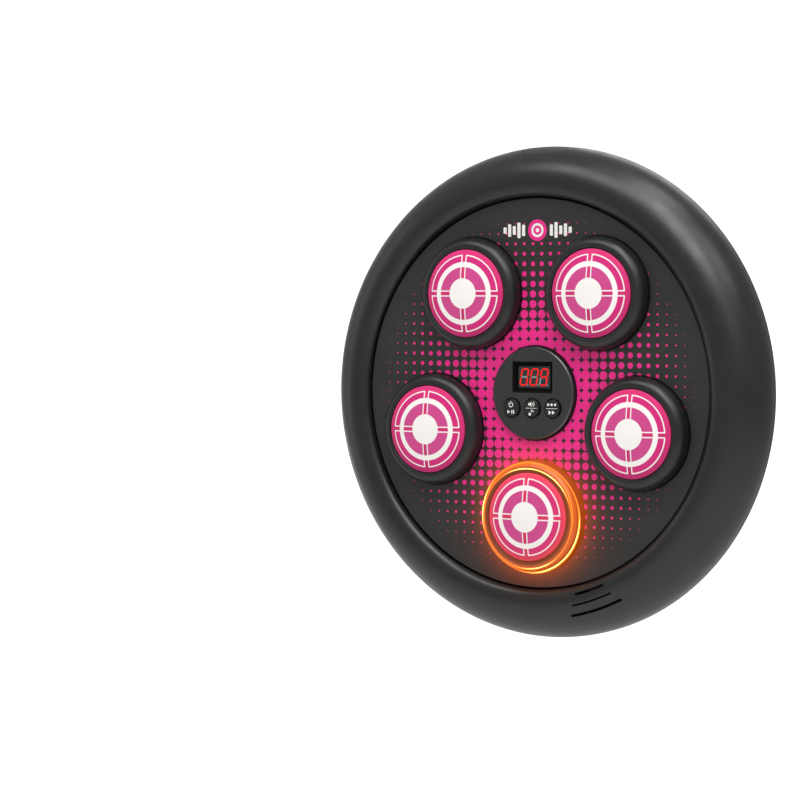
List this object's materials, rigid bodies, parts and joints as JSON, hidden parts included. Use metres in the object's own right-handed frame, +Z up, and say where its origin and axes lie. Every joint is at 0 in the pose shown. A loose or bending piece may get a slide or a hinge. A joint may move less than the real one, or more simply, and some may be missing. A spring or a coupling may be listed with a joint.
{
  "type": "boxing punch machine",
  "caption": "Round wall-hung punching target with sprung, lamp-lit pads round a control panel with a display, and a stick-on wall plate.",
  "frame": {"origin": "on the machine's axis, in the plane of the wall, at the middle adhesive strip's rear face", "axes": "+Z up, +X to the right seen from the front, +Y into the wall; the pads face -Y"},
  "size_m": [0.3954, 0.0534, 0.3954],
  "materials": {
    "housing_abs": "satin black moulded ABS",
    "face_abs": "satin black ABS with a printed dot pattern",
    "panel_abs": "satin black moulded ABS",
    "display": "display block with a dark bezel",
    "button_abs": "dark moulded ABS with printed symbols",
    "pad_rubber": "satin smoked elastomer",
    "pad_lit": "satin smoked elastomer, lit from behind",
    "label_print": "printed soft disc",
    "carrier_abs": "natural ABS",
    "frame_abs": "dark ABS",
    "rear_abs": "textured black ABS",
    "plate_abs": "white ABS",
    "tape_foam": "adhesive foam strip",
    "board": "green solder mask on glass fibre",
    "lamp_board": "white solder mask",
    "battery_wrap": "blue shrink wrap",
    "speaker_black": "black pressed basket and cone",
    "switch_black": "black nylon",
    "screw_steel": "zinc-plated steel",
    "spring_steel": "spring steel wire",
    "socket_steel": "stainless steel shell",
    "port_rubber": "satin black silicone rubber",
    "ribbon": "flat cable",
    "lead_red": "PVC sleeve",
    "lead_black": "PVC sleeve"
  },
  "bodies": {
    "wall_mount": {"wall_plate": "plate_abs", "adhesive_strips": "tape_foam"},
    "housing": {"rim_shell": "housing_abs", "face_plate": "face_abs", "control_panel": "panel_abs", "display_module": "display", "tact_switches": "switch_black", "control_board": "board", "control_board_screws": "screw_steel", "mid_frame": "frame_abs", "mid_frame_screws": "screw_steel", "main_board": "board", "main_board_screws": "screw_steel", "battery_pack": "battery_wrap", "speaker": "speaker_black", "charge_board": "board", "charge_board_screws": "screw_steel", "usb_socket": "socket_steel", "rear_cover": "rear_abs", "rear_cover_screws": "screw_steel", "led_ribbons": "ribbon", "battery_lead": "lead_red", "speaker_lead": "lead_black", "charge_lead": "lead_red", "pad_spring_top_left": "spring_steel", "pad_spring_top_right": "spring_steel", "pad_spring_right": "spring_steel", "pad_spring_bottom": "spring_steel", "pad_spring_left": "spring_steel", "led_ring_top_left": "lamp_board", "led_ring_top_right": "lamp_board", "led_ring_right": "lamp_board", "led_ring_bottom": "lamp_board", "led_ring_left": "lamp_board", "pad_switch_top_left": "switch_black", "pad_switch_top_right": "switch_black", "pad_switch_right": "switch_black", "pad_switch_bottom": "switch_black", "pad_switch_left": "switch_black"},
    "pad_top_left": {"strike_pad_top_left": "pad_rubber", "pad_label_top_left": "label_print", "pad_carrier_top_left": "carrier_abs"},
    "pad_top_right": {"strike_pad_top_right": "pad_rubber", "pad_label_top_right": "label_print", "pad_carrier_top_right": "carrier_abs"},
    "pad_right": {"strike_pad_right": "pad_rubber", "pad_label_right": "label_print", "pad_carrier_right": "carrier_abs"},
    "pad_bottom": {"strike_pad_bottom": "pad_lit", "pad_label_bottom": "label_print", "pad_carrier_bottom": "carrier_abs"},
    "pad_left": {"strike_pad_left": "pad_rubber", "pad_label_left": "label_print", "pad_carrier_left": "carrier_abs"},
    "power_key": {"power_button": "button_abs"},
    "volume_key": {"volume_button": "button_abs"},
    "mode_key": {"mode_button": "button_abs"},
    "port_flap": {"port_cover": "port_rubber"}
  },
  "joints": [
    {"name": "pad_top_left_press", "type": "slide", "parent": "housing", "child": "pad_top_left", "axis": [0, 1, 0], "range_m": [0, 0.004], "stiffness_N_per_m": 1500, "springref_m": -0.004, "deforming": ["pad_spring_top_left"]},
    {"name": "pad_top_right_press", "type": "slide", "parent": "housing", "child": "pad_top_right", "axis": [0, 1, 0], "range_m": [0, 0.004], "stiffness_N_per_m": 1500, "springref_m": -0.004, "deforming": ["pad_spring_top_right"]},
    {"name": "pad_right_press", "type": "slide", "parent": "housing", "child": "pad_right", "axis": [0, 1, 0], "range_m": [0, 0.004], "stiffness_N_per_m": 1500, "springref_m": -0.004, "deforming": ["pad_spring_right"]},
    {"name": "pad_bottom_press", "type": "slide", "parent": "housing", "child": "pad_bottom", "axis": [0, 1, 0], "range_m": [0, 0.004], "stiffness_N_per_m": 1500, "springref_m": -0.004, "deforming": ["pad_spring_bottom"]},
    {"name": "pad_left_press", "type": "slide", "parent": "housing", "child": "pad_left", "axis": [0, 1, 0], "range_m": [0, 0.004], "stiffness_N_per_m": 1500, "springref_m": -0.004, "deforming": ["pad_spring_left"]},
    {"name": "power_press", "type": "slide", "parent": "housing", "child": "power_key", "axis": [0, 1, 0], "range_m": [0, 0.0008], "stiffness_N_per_m": 600, "springref_m": -0.0008},
    {"name": "volume_press", "type": "slide", "parent": "housing", "child": "volume_key", "axis": [0, 1, 0], "range_m": [0, 0.0008], "stiffness_N_per_m": 600, "springref_m": -0.0008},
    {"name": "mode_press", "type": "slide", "parent": "housing", "child": "mode_key", "axis": [0, 1, 0], "range_m": [0, 0.0008], "stiffness_N_per_m": 600, "springref_m": -0.0008},
    {"name": "port_cover_hinge", "type": "hinge", "parent": "housing", "child": "port_flap", "pos_m": [-0.02, -0.02021, 0.1949], "axis": [0, -0.9426, -0.334], "range_deg": [0, 100], "stiffness_Nm_per_rad": 0.004, "springref_deg": -20.05},
    {"name": "lift_off", "type": "slide", "parent": "wall_mount", "child": "housing", "axis": [0, 0, 1], "range_m": [0, 0.014]}
  ]
}
